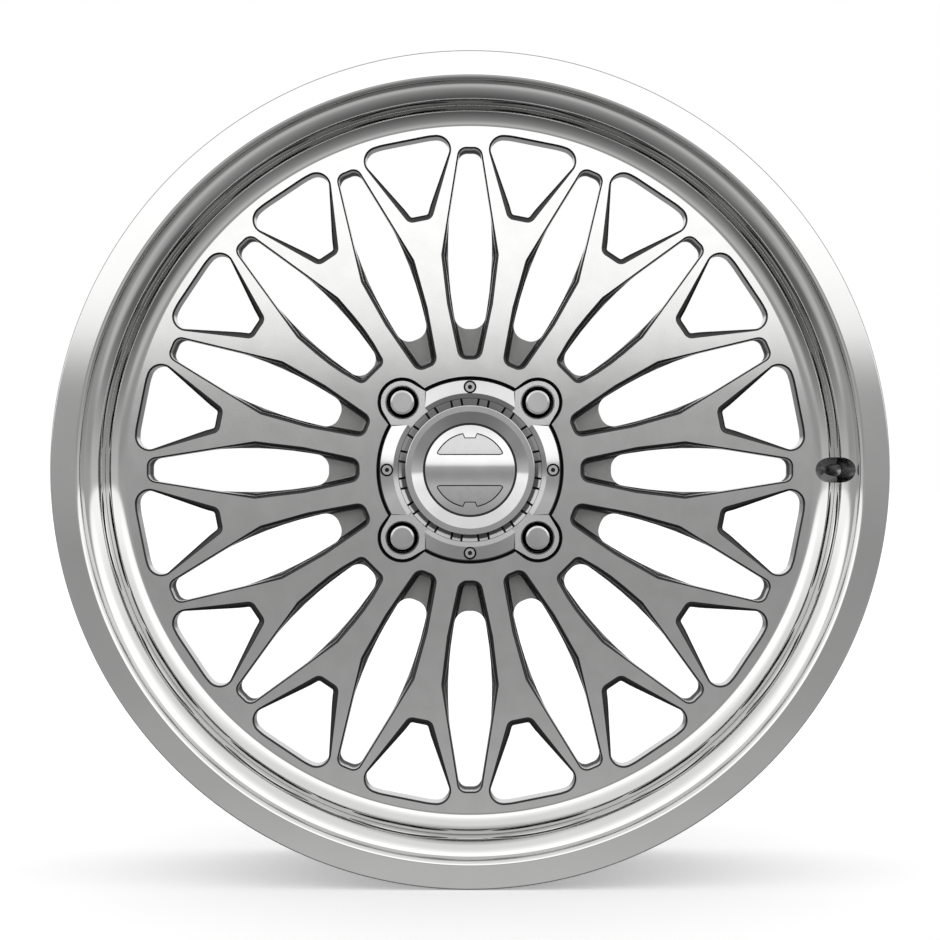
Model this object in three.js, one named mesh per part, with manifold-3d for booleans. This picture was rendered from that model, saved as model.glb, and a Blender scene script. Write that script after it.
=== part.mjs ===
// Forged one-piece racing wheel, 22 x 7 inch, 4 x 137 mm bolt circle, with its centre cap and lug nuts.
//
// Everything is modelled around the axle as Z, with the street side facing +Z and z = 0 halfway between
// the two flanges. The finished group is turned so that the axle lies along Y and the street side faces -Y.

import * as THREE from 'three';
import { mergeVertices } from 'three/addons/utils/BufferGeometryUtils.js';
import Module from 'manifold-3d';

const wasm = await Module();
wasm.setup();

const INCH = 25.4;
const GAP = 0.3; // clearance between pieces that touch
const TURN = 2 * Math.PI;
const CHORD_ERROR = 0.5; // how far a straight chord may leave the arc it stands for
const BADGE_CHORD_ERROR = 0.05;

// Driving dimensions of the wheel
const WHEEL_WIDTH = 7 * INCH; // between the flanges
const BEAD_RADIUS = 11 * INCH;
const FLANGE_HEIGHT = 15;
const FLANGE_THICKNESS = 10.1;
const RIM_RADIUS = BEAD_RADIUS + FLANGE_HEIGHT;
const RIM_FRONT = WHEEL_WIDTH / 2 + FLANGE_THICKNESS;
const WALL = 6; // thickness of the barrel
const BARREL_SIDES = 48;
const CAP_SIDES = 40;

// Street face, shoulder and hub
const FACE_Z = RIM_FRONT - 33;
const FACE_RADIUS = 245;
const SHOULDER_ARC = 14.4; // radius of both arcs of the S-shaped shoulder
const SHOULDER_SLOPE = THREE.MathUtils.degToRad(75);
const SHOULDER_STRAIGHT = 3;
const HUB_BACK_Z = 13; // mounting face
const PAD_RADIUS = 108;
const BORE_RADIUS = 55;
const POCKET_DEPTH = 18;
const POCKET_Z = FACE_Z - POCKET_DEPTH;
const WEB_BACK_Z = FACE_Z - 21;

// Bolt circle and centre cap
const LUG_CIRCLE = 137 / 2;
const LUG_HOLE = 6.75;
const LUG_COUNTERBORE = 11;
const LUG_SEAT_HALF_ANGLE = Math.PI / 6;
const RECESS_Z = FACE_Z - 18; // floor of the cross-shaped recess
const LUG_SEAT_TOP = RECESS_Z - 16;
const PLATE_TOP = FACE_Z - 1.5;
const PLATE_FLOOR = FACE_Z - 7; // seat of the crown and of the castellated ring
const CROWN_TOP = FACE_Z + 1;
const RECESS_CIRCLE = 66.4; // the recess is a circle with a lobe around each lug
const RECESS_LOBE = 17.1;
const LOBE_ANGLE = 15.7; // degrees from a lobe's middle to its corner with the circle
const CAP_SCREW_CIRCLE = 59.5;
const CAP_SCREW_HOLE = 2.3; // M4
const CAP_SCREW_COUNTERBORE = 4.65;
const CROWN_SCREW_CIRCLE = 42.5;
const CROWN_SCREW_HOLE = 1.8; // M3
const CROWN_SCREW_COUNTERBORE = 3.1;

// Valve hole, on the +X side
const VALVE_RADIUS = 256; // where both of its axes meet the face
const VALVE_POCKET = 9;
const VALVE_POCKET_LEAN = 15; // degrees from the axle, outwards to the street side
const VALVE_BORE = 4.7;
const VALVE_BORE_LEAN = 127;

const SPOKES = 16;
const SPOKE_PITCH = TURN / SPOKES;

function lugAngle(k) {
  return TURN / 8 + (TURN / 4) * k;
}

// ---------------------------------------------------------------- helpers

function material(color, roughness, metalness = 1) {
  return new THREE.MeshStandardMaterial({ color, roughness, metalness });
}

function solid(geometry) {
  const plain = geometry.clone();
  plain.deleteAttribute('normal');
  plain.deleteAttribute('uv');
  const merged = mergeVertices(plain, 1e-4);
  const index = Array.from(merged.index.array);
  const faces = [];
  for (let i = 0; i < index.length; i += 3) {
    const [a, b, c] = index.slice(i, i + 3);
    if (a !== b && b !== c && c !== a) faces.push(a, b, c);
  }
  return new wasm.Manifold(new wasm.Mesh({
    numProp: 3,
    vertProperties: new Float32Array(merged.attributes.position.array),
    triVerts: new Uint32Array(faces),
  }));
}

function geometryOf(manifold) {
  const mesh = manifold.getMesh();
  const geometry = new THREE.BufferGeometry();
  geometry.setAttribute('position', new THREE.BufferAttribute(mesh.vertProperties, 3));
  geometry.setIndex(new THREE.BufferAttribute(mesh.triVerts, 1));
  return geometry;
}

function union(solids) {
  return solids.reduce((whole, next) => whole.add(next));
}

// Points of an arc in the (radius, height) plane, from one angle to another, in degrees.
function arc(x, y, radius, from, to, chordError = CHORD_ERROR) {
  const sweep = THREE.MathUtils.degToRad(to - from);
  const steps = Math.max(1, Math.ceil(Math.abs(sweep) / (2 * Math.acos(1 - chordError / radius))));
  return Array.from({ length: steps + 1 }, (_, i) => {
    const angle = THREE.MathUtils.degToRad(from) + (sweep * i) / steps;
    return [x + radius * Math.cos(angle), y + radius * Math.sin(angle)];
  });
}

// Solid of revolution about Z from a closed outline of [radius, z] points listed counter-clockwise.
function turned(outline, sides) {
  const points = [...outline, outline[0]].map(([r, z]) => new THREE.Vector2(r, z));
  return solid(new THREE.LatheGeometry(points, sides).rotateX(Math.PI / 2));
}

// Plain cylinder about Z between two heights; a second radius makes it a cone.
function rod(radius, bottom, top, sides = 24, topRadius = radius) {
  const cylinder = new THREE.CylinderGeometry(topRadius, radius, top - bottom, sides);
  return solid(cylinder.rotateX(Math.PI / 2).translate(0, 0, (bottom + top) / 2));
}

// Moves a solid along +X by `radius` and then turns it about Z by `angle`.
function placed(body, radius, angle) {
  return body.translate([radius, 0, 0]).rotate([0, 0, THREE.MathUtils.radToDeg(angle)]);
}

// Closed outline from corners [x, y, radius], listed counter-clockwise, with each corner rounded.
function rounded(corners) {
  const points = [];
  corners.forEach(([x, y, radius], i) => {
    const corner = new THREE.Vector2(x, y);
    const [beforeX, beforeY] = corners.at(i - 1);
    const [afterX, afterY] = corners[(i + 1) % corners.length];
    const back = new THREE.Vector2(beforeX - x, beforeY - y).normalize();
    const ahead = new THREE.Vector2(afterX - x, afterY - y).normalize();
    const half = Math.acos(THREE.MathUtils.clamp(back.dot(ahead), -1, 1)) / 2;
    const middle = back.clone().add(ahead).normalize();
    const centre = corner.clone().addScaledVector(middle, radius / Math.sin(half));
    const start = corner.clone().addScaledVector(back, radius / Math.tan(half)).sub(centre).angle();
    const sweep = Math.sign(ahead.cross(back)) * (Math.PI - 2 * half);
    const degrees = [start, start + sweep].map(THREE.MathUtils.radToDeg);
    points.push(...arc(centre.x, centre.y, radius, ...degrees));
  });
  return points;
}

// The same outline for shapes that are mirrored across X: only the corners with y > 0 are given,
// from the inner end of the shape to its outer end.
function mirrored(corners) {
  return rounded([...corners.map(([x, y, r]) => [x, -y, r]), ...corners.toReversed()]);
}

function prism(outline, bottom, top, holes = []) {
  const shape = new THREE.Shape(outline.map(([x, y]) => new THREE.Vector2(x, y)));
  shape.holes = holes.map((hole) => new THREE.Path(hole.map(([x, y]) => new THREE.Vector2(x, y))));
  const geometry = new THREE.ExtrudeGeometry(shape, { depth: top - bottom, bevelEnabled: false });
  return solid(geometry.translate(0, 0, bottom));
}

function circle(x, y, radius, sides) {
  return Array.from({ length: sides }, (_, i) => [
    x + radius * Math.cos((TURN * i) / sides),
    y + radius * Math.sin((TURN * i) / sides),
  ]);
}

// ---------------------------------------------------------------- forged wheel

// Cross-section of the whole forging: barrel, flanges, shoulder, web and hub.
function wheelOutline() {
  const drop = BEAD_RADIUS - 17;
  const flangeFace = WHEEL_WIDTH / 2;
  const rearWall = BEAD_RADIUS - 6;
  const hump = BEAD_RADIUS - 0.2;
  const edge = RIM_RADIUS - 1;
  const slopeDegrees = THREE.MathUtils.radToDeg(SHOULDER_SLOPE);
  const shoulderLow = arc(FACE_RADIUS, FACE_Z + SHOULDER_ARC, SHOULDER_ARC, -90, slopeDegrees - 90);
  const [lowR, lowZ] = shoulderLow.at(-1);
  const highR = lowR + SHOULDER_STRAIGHT * Math.cos(SHOULDER_SLOPE);
  const highZ = lowZ + SHOULDER_STRAIGHT * Math.sin(SHOULDER_SLOPE);
  const shoulderHigh = arc(
    highR + SHOULDER_ARC * Math.sin(SHOULDER_SLOPE),
    highZ - SHOULDER_ARC * Math.cos(SHOULDER_SLOPE),
    SHOULDER_ARC, 90 + slopeDegrees, 95,
  );
  const lipInner = shoulderHigh.at(-1)[0] + 0.8;
  return [
    [BORE_RADIUS, HUB_BACK_Z],
    [PAD_RADIUS, HUB_BACK_Z],
    [PAD_RADIUS + 4, HUB_BACK_Z + 12],
    [150, WEB_BACK_Z],
    [238, WEB_BACK_Z],
    ...arc(238, WEB_BACK_Z - 18, 18, 60, 0),
    [drop - WALL, -6],
    [rearWall - WALL, -32],
    [rearWall - WALL, -62],
    [BEAD_RADIUS - 7, -WHEEL_WIDTH / 2],
    ...arc(RIM_RADIUS - 8, -RIM_FRONT + 6, 6, 180, 270),
    [edge, -RIM_FRONT],
    [RIM_RADIUS, -RIM_FRONT + 1],
    ...arc(RIM_RADIUS - 5, -flangeFace - 5, 5, 0, 90),
    ...arc(BEAD_RADIUS + 5, -flangeFace + 5, 5, 270, 180),
    [BEAD_RADIUS - 1.5, -66],
    [hump, -62],
    [rearWall, -56],
    [rearWall, -30],
    [drop, -4],
    [drop, 38],
    [BEAD_RADIUS - 2, 58],
    [hump, 62],
    [BEAD_RADIUS - 1.5, 66],
    ...arc(BEAD_RADIUS + 5, flangeFace - 5, 5, 180, 90),
    ...arc(RIM_RADIUS - 5, flangeFace + 5, 5, 270, 360),
    [RIM_RADIUS, RIM_FRONT - 1],
    [edge, RIM_FRONT],
    ...arc(lipInner + 4.5, RIM_FRONT - 4.5, 4.5, 90, 180),
    ...shoulderHigh.toReversed(),
    ...shoulderLow.toReversed(),
    [BORE_RADIUS - 5, FACE_Z],
    [BORE_RADIUS - 5, RECESS_Z - 12],
    [BORE_RADIUS, RECESS_Z - 12],
  ];
}

// Petal windows: a pocket from the street side, and a lens-shaped way through its floor.
function petalCutters() {
  const tip = [230.9, 8.3, 6.6];
  const kink = [153.9, 20.6, 6];
  const pocket = mirrored([[78.8, 7.6, 7.1], [118.5, 18, 368], kink, tip]);
  const pocketBesideLug = mirrored([[97.1, 11.2, 5.5], [118.5, 18, 150], kink, tip]);
  const lens = mirrored([[101.7, 9.8, 9.9], [165.3, 20.6, 268], [228.3, 7.3, 6.5]]);
  const through = prism(lens, HUB_BACK_Z - 1, POCKET_Z + 1);
  return Array.from({ length: SPOKES }, (_, k) => {
    const top = prism(k % 4 === 2 ? pocketBesideLug : pocket, POCKET_Z, FACE_Z + 1);
    return placed(top.add(through), 0, k * SPOKE_PITCH);
  });
}

// Three-cornered windows near the shoulder, between the petals.
function triangleCutters() {
  const outline = mirrored([[181.1, 8.5, 6.2], [237.3, 37.2, 10.6], [240.2, 18.8, 45]]);
  const window = prism(outline, WEB_BACK_Z - 25, FACE_Z + 1);
  return Array.from({ length: SPOKES }, (_, k) => placed(window, 0, (k + 0.5) * SPOKE_PITCH));
}

// Outline shared by the recess and the cap plate: a circle with a lobe over each lug.
function crossOutline(circleRadius, lobeRadius) {
  const cornerAngle = THREE.MathUtils.degToRad(LOBE_ANGLE);
  const corner = new THREE.Vector2(Math.cos(cornerAngle), Math.sin(cornerAngle)).multiplyScalar(circleRadius);
  const toLug = new THREE.Vector2(LUG_CIRCLE - corner.x, -corner.y);
  const tangentTurn = Math.acos(lobeRadius / toLug.length());
  const fromLug = Math.atan2(-toLug.y, -toLug.x);
  const lobeStart = THREE.MathUtils.radToDeg(fromLug - tangentTurn);
  const quarter = [
    ...arc(LUG_CIRCLE, 0, lobeRadius, -lobeStart, lobeStart),
    ...arc(0, 0, circleRadius, LOBE_ANGLE, 90 - LOBE_ANGLE),
  ];
  return [0, 1, 2, 3].flatMap((k) => {
    const angle = lugAngle(k);
    return quarter.map(([x, y]) => [
      x * Math.cos(angle) - y * Math.sin(angle),
      x * Math.sin(angle) + y * Math.cos(angle),
    ]);
  });
}

function lugHole() {
  const seatDepth = (LUG_COUNTERBORE - LUG_HOLE) / Math.tan(LUG_SEAT_HALF_ANGLE);
  return turned([
    [0, HUB_BACK_Z - 1],
    [LUG_HOLE, HUB_BACK_Z - 1],
    [LUG_HOLE, LUG_SEAT_TOP - seatDepth],
    [LUG_COUNTERBORE, LUG_SEAT_TOP],
    [LUG_COUNTERBORE, RECESS_Z + 1],
    [0, RECESS_Z + 1],
  ], 20);
}

// Valve hole: a pocket milled into the shoulder, and a bore from its floor out to the tyre side.
function valveHole() {
  const pocket = rod(VALVE_POCKET, -4, 28, 32).rotate([0, VALVE_POCKET_LEAN, 0]);
  const bore = rod(VALVE_BORE, -1, 34, 20).rotate([0, VALVE_BORE_LEAN, 0]);
  return pocket.add(bore).translate([VALVE_RADIUS, 0, FACE_Z]);
}

function wheelBody() {
  const recess = prism(crossOutline(RECESS_CIRCLE, RECESS_LOBE), RECESS_Z, FACE_Z + 1);
  const cutters = [recess, valveHole(), ...petalCutters(), ...triangleCutters()];
  for (let k = 0; k < 4; k += 1) {
    cutters.push(placed(lugHole(), LUG_CIRCLE, lugAngle(k)));
    cutters.push(placed(rod(CAP_SCREW_HOLE, RECESS_Z - 12, RECESS_Z + 1, 10), CAP_SCREW_CIRCLE, (TURN / 4) * k));
  }
  return turned(wheelOutline(), BARREL_SIDES).subtract(union(cutters));
}

// ---------------------------------------------------------------- centre cap

const GASKET_BOTTOM = RECESS_Z + GAP;
const GASKET_TOP = GASKET_BOTTOM + 1;
const PLATE_BOTTOM = GASKET_TOP + GAP;
const PLATE_SCREW_SEAT = PLATE_TOP - 8.5;
const PLATE_LUG_WAY = 11.3;
const CROWN_SCREW_SEAT = PLATE_BOTTOM + 4;
const PLATE_CIRCLE = RECESS_CIRCLE - 1.4;
const PLATE_LOBE = RECESS_LOBE - 1.4;
const CONE_INNER = 55;
const CONE_DROP = 2.7;
const PLATE_SEAT = 51.6; // radius of the seat for the crown and the ring
const FUNNEL_BOTTOM = PLATE_TOP - 1.2;
const PAD_NOSE_WIDTH = 17; // of the flat pads where they interrupt the funnel
const RING_BOTTOM = PLATE_FLOOR + GAP;

function gasket() {
  const holes = [circle(0, 0, 51, CAP_SIDES)];
  for (let k = 0; k < 4; k += 1) {
    const lug = [LUG_CIRCLE * Math.cos(lugAngle(k)), LUG_CIRCLE * Math.sin(lugAngle(k))];
    const quarterTurn = (TURN / 4) * k;
    holes.push(circle(...lug, 12, 20));
    holes.push(circle(CAP_SCREW_CIRCLE * Math.cos(quarterTurn), CAP_SCREW_CIRCLE * Math.sin(quarterTurn), 2.6, 8));
  }
  return prism(crossOutline(PLATE_CIRCLE, PLATE_LOBE), GASKET_BOTTOM, GASKET_TOP, holes);
}

// Cross-shaped plate with a coned ring, flat pads over the lugs and a seat for the crown.
function basePlate() {
  const blank = prism(crossOutline(PLATE_CIRCLE, PLATE_LOBE), PLATE_BOTTOM, PLATE_TOP);
  const aboveCone = turned([
    [CONE_INNER, PLATE_TOP],
    [90, PLATE_TOP - (CONE_DROP * (90 - CONE_INNER)) / (PLATE_CIRCLE - CONE_INNER)],
    [90, PLATE_TOP + 1],
    [CONE_INNER, PLATE_TOP + 1],
  ], CAP_SIDES);
  const padEdge = 32.2;
  const lugPads = union([0, 1, 2, 3].map((k) => {
    const box = new THREE.BoxGeometry(60, 60, 40).translate(padEdge + 30, padEdge + 30, PLATE_TOP - 5);
    return placed(solid(box), 0, (TURN / 4) * k);
  }));
  const padNoses = union([0, 1, 2, 3].map((k) => {
    const box = new THREE.BoxGeometry(20, PAD_NOSE_WIDTH, 40).translate(PLATE_SEAT, 0, PLATE_TOP);
    return placed(solid(box), 0, lugAngle(k));
  }));
  const crownSeat = rod(PLATE_SEAT, PLATE_FLOOR, PLATE_TOP + 1, CAP_SIDES);
  const funnel = rod(PLATE_SEAT, FUNNEL_BOTTOM, PLATE_TOP, CAP_SIDES, CONE_INNER);
  const cutters = [aboveCone.subtract(lugPads), crownSeat, funnel.subtract(padNoses)];
  for (let k = 0; k < 4; k += 1) {
    const lugWay = rod(PLATE_LUG_WAY, PLATE_BOTTOM - 1, PLATE_TOP + 1, 24)
      .add(rod(PLATE_LUG_WAY, PLATE_TOP - 1, PLATE_TOP + 0.1, 24, PLATE_LUG_WAY + 1.1));
    const screwWay = rod(CAP_SCREW_HOLE, PLATE_BOTTOM - 1, PLATE_TOP, 12)
      .add(rod(CAP_SCREW_COUNTERBORE, PLATE_SCREW_SEAT, PLATE_TOP + 1, 16));
    const crownScrewWay = rod(CROWN_SCREW_HOLE, PLATE_BOTTOM - 1, PLATE_TOP, 12)
      .add(rod(CROWN_SCREW_COUNTERBORE, PLATE_BOTTOM - 1, CROWN_SCREW_SEAT, 16));
    cutters.push(placed(lugWay, LUG_CIRCLE, lugAngle(k)));
    cutters.push(placed(screwWay, CAP_SCREW_CIRCLE, (TURN / 4) * k));
    cutters.push(placed(crownScrewWay, CROWN_SCREW_CIRCLE, lugAngle(k)));
  }
  return blank.subtract(union(cutters));
}

// Ring with 16 teeth standing around the crown; its top falls towards the crown.
function castleRing() {
  const inner = 46.6;
  const outer = PLATE_SEAT - GAP;
  const top = FUNNEL_BOTTOM;
  const fall = 1.5;
  const depth = 1.5;
  const slope = THREE.MathUtils.radToDeg(Math.atan2(fall, outer - inner));
  const ring = turned([[inner, RING_BOTTOM], [outer, RING_BOTTOM], [outer, top], [inner, top - fall]], 64);
  const floorHalf = 2.9;
  const mouthHalf = 5.4;
  const notchOutline = [[-floorHalf, -depth], [floorHalf, -depth], [mouthHalf, 1], [-mouthHalf, 1]];
  const notch = prism(notchOutline, -8, 3).rotate([90, 0, 90]).rotate([0, -slope, 0]).translate([outer, 0, top]);
  const notches = Array.from({ length: SPOKES }, (_, k) => placed(notch, 0, (k + 0.5) * SPOKE_PITCH));
  return ring.subtract(union(notches));
}

const BADGE_RADIUS = 32.1;
const BADGE_FLANGE = 35;
const BADGE_RIM = CROWN_TOP - 4;
const BADGE_RISE = 3.6; // of its domed top
const BADGE_SHOULDER = RING_BOTTOM + 2.8;

// Bezel: flat rim, coned bevel down to the badge, and a bore that takes the badge from behind.
function crown() {
  const outer = 46.3;
  const rim = 41.8;
  const opening = 33.7;
  const body = turned([
    [BADGE_FLANGE + 0.4, RING_BOTTOM],
    [outer, RING_BOTTOM],
    [outer, CROWN_TOP - 0.5],
    [outer - 0.5, CROWN_TOP],
    [rim, CROWN_TOP],
    [opening, CROWN_TOP - 3.9],
    [opening, BADGE_SHOULDER + GAP],
    [BADGE_FLANGE + 0.4, BADGE_SHOULDER + GAP],
    [BADGE_FLANGE + 0.4, RING_BOTTOM + 1.5],
    [BADGE_FLANGE + 1.6, RING_BOTTOM + 1.5],
    [BADGE_FLANGE + 1.6, RING_BOTTOM + 0.3],
    [BADGE_FLANGE + 0.4, RING_BOTTOM + 0.3],
  ], CAP_SIDES);
  const screwHoles = [0, 1, 2, 3].map((k) => (
    placed(rod(CROWN_SCREW_HOLE, RING_BOTTOM - 1, CROWN_TOP - 1.7, 12), CROWN_SCREW_CIRCLE, lugAngle(k))
  ));
  return body.subtract(union(screwHoles));
}

// Domed disc with a D-shaped sunken panel above and below a plain middle band.
function badge() {
  const domeRadius = (BADGE_RADIUS ** 2 + BADGE_RISE ** 2) / (2 * BADGE_RISE);
  const domeTop = BADGE_RIM + BADGE_RISE;
  const rimAngle = THREE.MathUtils.radToDeg(Math.acos(BADGE_RADIUS / domeRadius));
  const body = turned([
    [0, BADGE_SHOULDER - 1],
    [BADGE_FLANGE, BADGE_SHOULDER - 1],
    [BADGE_FLANGE, BADGE_SHOULDER],
    [BADGE_RADIUS, BADGE_SHOULDER],
    ...arc(0, domeTop - domeRadius, domeRadius, rimAngle, 85, BADGE_CHORD_ERROR),
    [0, domeTop],
  ], CAP_SIDES);
  const chord = 10.7;
  const reach = 26.9;
  const notchHalf = 5;
  const notchDepth = 3.6;
  const panelDepth = 0.4;
  const chordHalf = Math.sqrt(reach ** 2 - chord ** 2);
  const chordAngle = THREE.MathUtils.radToDeg(Math.atan2(chord, chordHalf)) + 5;
  const poleAngle = THREE.MathUtils.radToDeg(Math.atan2(reach, notchHalf));
  const panel = prism([
    [chordHalf - 2, chord],
    ...arc(0, 0, reach, chordAngle, poleAngle),
    [notchHalf - 1.5, reach - notchDepth],
    [1.5 - notchHalf, reach - notchDepth],
    ...arc(0, 0, reach, 180 - poleAngle, 180 - chordAngle),
    [2 - chordHalf, chord],
  ], BADGE_SHOULDER, domeTop + 1);
  const panels = panel.add(panel.rotate([0, 0, 180]));
  return body.subtract(panels.subtract(body.translate([0, 0, -panelDepth])));
}

function badgeRing() {
  const outline = circle(BADGE_RADIUS + 0.8, BADGE_SHOULDER + GAP + 0.5, 0.5, 6);
  return turned(outline, CAP_SIDES);
}

// Open spring ring in the crown's groove, behind the badge.
function retainingRing() {
  const bottom = RING_BOTTOM + 0.6;
  const top = RING_BOTTOM + 1.2;
  const opening = solid(new THREE.BoxGeometry(6, 20, 10).translate(0, -BADGE_FLANGE, bottom));
  return turned([[31, bottom], [36.2, bottom], [36.2, top], [31, top]], 40).subtract(opening);
}

// ---------------------------------------------------------------- fasteners

function socketScrew(shank, head, headHeight, keyWidth, seatZ, tipZ, up) {
  const key = rod(keyWidth / Math.sqrt(3), headHeight / 2, headHeight + 1, 6);
  const length = Math.abs(seatZ - tipZ);
  const upright = turned([
    [0, -length],
    [shank - 0.4, -length],
    [shank, -length + 0.4],
    [shank, 0],
    [head, 0],
    [head, headHeight - 0.3],
    [head - 0.3, headHeight],
    [0, headHeight],
  ], 14).subtract(key);
  return (up ? upright : upright.rotate([180, 0, 0])).translate([0, 0, seatZ]);
}

// Closed lug nut: 60 degree seat, round drive body with a bevelled crown, blind threaded hole.
function lugNut() {
  const base = LUG_COUNTERBORE - GAP;
  const seatDepth = 6;
  const top = PLATE_TOP + 0.3;
  const body = 8.6;
  const thread = 5.2;
  return turned([
    [thread, LUG_SEAT_TOP - seatDepth],
    [base - seatDepth * Math.tan(LUG_SEAT_HALF_ANGLE), LUG_SEAT_TOP - seatDepth],
    [base, LUG_SEAT_TOP],
    [base, LUG_SEAT_TOP + 3],
    [body, LUG_SEAT_TOP + 5.5],
    [body, top - 0.9],
    [body - 1.5, top],
    [0, top],
    [0, LUG_SEAT_TOP + 22],
    [thread, LUG_SEAT_TOP + 19],
  ], 20);
}

// ---------------------------------------------------------------- assembly

const MATERIALS = {
  forged: () => material(0xa4a5a6, 0.28),
  cap: () => material(0x9a9b9c, 0.22),
  polished: () => material(0xc8c9ca, 0.08),
  matte: () => material(0x6e6f70, 0.5),
  rubber: () => material(0x1b1b1c, 0.85, 0),
  steel: () => material(0x8d8f92, 0.25),
};

const wheel = new THREE.Group();

function addNode(name, body, look) {
  const mesh = new THREE.Mesh(geometryOf(body), look());
  mesh.name = name;
  wheel.add(mesh);
}

addNode('wheel_body', wheelBody(), MATERIALS.forged);
addNode('cap_gasket', gasket(), MATERIALS.rubber);
addNode('cap_base_plate', basePlate(), MATERIALS.cap);
addNode('cap_castle_ring', castleRing(), MATERIALS.cap);
addNode('cap_crown', crown(), MATERIALS.polished);
addNode('cap_badge', badge(), MATERIALS.matte);
addNode('badge_o_ring', badgeRing(), MATERIALS.rubber);
addNode('badge_retaining_ring', retainingRing(), MATERIALS.steel);

for (let k = 0; k < 4; k += 1) {
  const capScrew = socketScrew(2, 3.6, 4, 3, PLATE_SCREW_SEAT + GAP, RECESS_Z - 10, true);
  const crownScrew = socketScrew(1.5, 2.75, 3, 2.5, CROWN_SCREW_SEAT - GAP, CROWN_TOP - 2.5, false);
  addNode(`cap_screw_${k + 1}`, placed(capScrew, CAP_SCREW_CIRCLE, (TURN / 4) * k), MATERIALS.steel);
  addNode(`crown_screw_${k + 1}`, placed(crownScrew, CROWN_SCREW_CIRCLE, lugAngle(k)), MATERIALS.steel);
  addNode(`lug_nut_${k + 1}`, placed(lugNut(), LUG_CIRCLE, lugAngle(k)), MATERIALS.steel);
}

wheel.rotation.x = Math.PI / 2;

export default wheel;
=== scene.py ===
"""Looks of the forged racing wheel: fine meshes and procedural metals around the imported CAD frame.

Shapes are built in millimetres around the axle as Z, with the street side facing +Z, and then turned
into the row frame, where the axle is Y, the street side faces -Y, and lengths are metres.
"""

import math

import bmesh
import bpy
from mathutils import Matrix, Vector


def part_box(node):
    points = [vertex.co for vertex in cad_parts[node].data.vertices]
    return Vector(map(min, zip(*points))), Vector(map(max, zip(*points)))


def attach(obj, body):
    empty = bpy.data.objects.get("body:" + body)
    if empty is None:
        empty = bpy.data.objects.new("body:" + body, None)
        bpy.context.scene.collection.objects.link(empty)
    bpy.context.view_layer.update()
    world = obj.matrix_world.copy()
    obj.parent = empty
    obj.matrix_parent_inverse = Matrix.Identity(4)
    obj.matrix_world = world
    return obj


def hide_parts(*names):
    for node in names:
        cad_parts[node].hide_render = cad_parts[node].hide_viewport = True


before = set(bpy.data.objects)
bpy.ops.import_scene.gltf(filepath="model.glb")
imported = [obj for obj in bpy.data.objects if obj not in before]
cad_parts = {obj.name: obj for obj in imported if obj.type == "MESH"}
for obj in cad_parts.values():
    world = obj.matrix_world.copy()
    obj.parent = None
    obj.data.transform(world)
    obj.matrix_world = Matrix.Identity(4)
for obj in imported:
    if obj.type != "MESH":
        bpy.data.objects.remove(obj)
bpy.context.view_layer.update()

# ---------------------------------------------------------------- sizes, in millimetres

MM = 0.001
GAP = 0.3  # clearance between pieces that touch
wheel_low, wheel_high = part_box("wheel_body")
RIM_RADIUS = wheel_high[0] / MM
RIM_FRONT = -wheel_low[1] / MM
BEAD_RADIUS = RIM_RADIUS - 15
FLANGE_FACE = RIM_FRONT - 10.1
WALL = 6  # thickness of the barrel

FACE_Z = RIM_FRONT - 33
FACE_RADIUS = 245
SHOULDER_ARC = 14.4  # radius of both arcs of the S-shaped shoulder
SHOULDER_SLOPE = math.radians(75)
SHOULDER_STRAIGHT = 3
HUB_BACK_Z = 13  # mounting face
WEB_BACK_Z = FACE_Z - 21
PAD_RADIUS = 108
BORE_RADIUS = 55
POCKET_Z = FACE_Z - 18  # floor of the petal pockets
RECESS_Z = FACE_Z - 18  # floor of the cross-shaped recess
EDGE_DEPTH = 2.4  # of the rounding along every window's rim
FLOOR_FILLET = 2.8  # around the floors of the petal pockets

LUG_CIRCLE = 137 / 2
LUG_HOLE = 6.75
LUG_COUNTERBORE = 11
LUG_SEAT_TOP = RECESS_Z - 16
LUG_SEAT_SLOPE = math.tan(math.radians(30))
RECESS_CIRCLE = 66.4  # the recess is a circle with a lobe around each lug
RECESS_LOBE = 17.1
LOBE_ANGLE = 15.7  # degrees from a lobe's middle to its corner with the circle

PLATE_TOP = FACE_Z - 1.5
PLATE_FLOOR = FACE_Z - 7
PLATE_BOTTOM = RECESS_Z + 1.6
PLATE_CIRCLE = 65
PLATE_LOBE = 15.7
PLATE_LUG_WAY = 11.3
CONE_INNER = 55
CONE_DROP = 2.7
PLATE_SEAT = 51.6  # radius of the seat for the crown and the ring
FUNNEL_BOTTOM = PLATE_TOP - 1.2
PAD_NOSE_HALF = 8.5  # half width of the flat pads where they interrupt the funnel
RING_BOTTOM = PLATE_FLOOR + GAP
CROWN_TOP = FACE_Z + 1

CAP_SCREW_CIRCLE = 59.5
CAP_SCREW_HOLE = 2.3
CAP_SCREW_COUNTERBORE = 4.65
CAP_SCREW_SEAT = PLATE_TOP - 8.5
CROWN_SCREW_CIRCLE = 42.5
CROWN_SCREW_HOLE = 1.8
CROWN_SCREW_COUNTERBORE = 3.1
CROWN_SCREW_SEAT = PLATE_BOTTOM + 4

BADGE_RADIUS = 32.1
BADGE_FLANGE = 35
BADGE_RIM = CROWN_TOP - 4
BADGE_RISE = 3.6  # of its domed top
BADGE_SHOULDER = RING_BOTTOM + 2.8
DOME_RADIUS = (BADGE_RADIUS ** 2 + BADGE_RISE ** 2) / (2 * BADGE_RISE)
DOME_TOP = BADGE_RIM + BADGE_RISE

VALVE_PLACE = Vector((256, 0, FACE_Z))
VALVE_CUTS = [(9, -4, 28, 15), (4.7, -1, 34, 127)]  # radius, both ends along its axis, lean in degrees

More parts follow.
